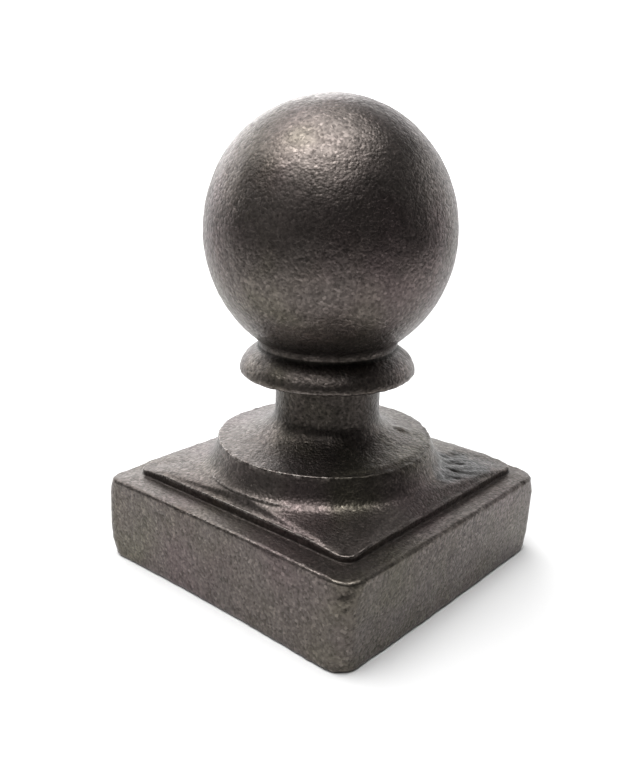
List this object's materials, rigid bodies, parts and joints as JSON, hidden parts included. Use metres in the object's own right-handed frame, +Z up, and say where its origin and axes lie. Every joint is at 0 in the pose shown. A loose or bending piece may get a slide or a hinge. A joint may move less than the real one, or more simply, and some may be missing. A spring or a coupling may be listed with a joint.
{
  "type": "post cap",
  "caption": "Cast-iron post cap: a ball on a collared neck and round plinth, over a square base with a raised panel and an open square socket that slips over a 50 mm post.",
  "frame": {"origin": "middle of the socket's square mouth, on the plane that the bottom rim stands on", "axes": "+Z up along the axis of the ball and the post; +X and +Y square to two faces of the base"},
  "size_m": [0.062, 0.062, 0.088],
  "materials": {
    "cast_iron": "bare sand-cast grey iron, unpainted, dull brown-grey with a coarse sparkling grain"
  },
  "bodies": {
    "root": {"post_cap": "cast_iron"}
  },
  "joints": []
}
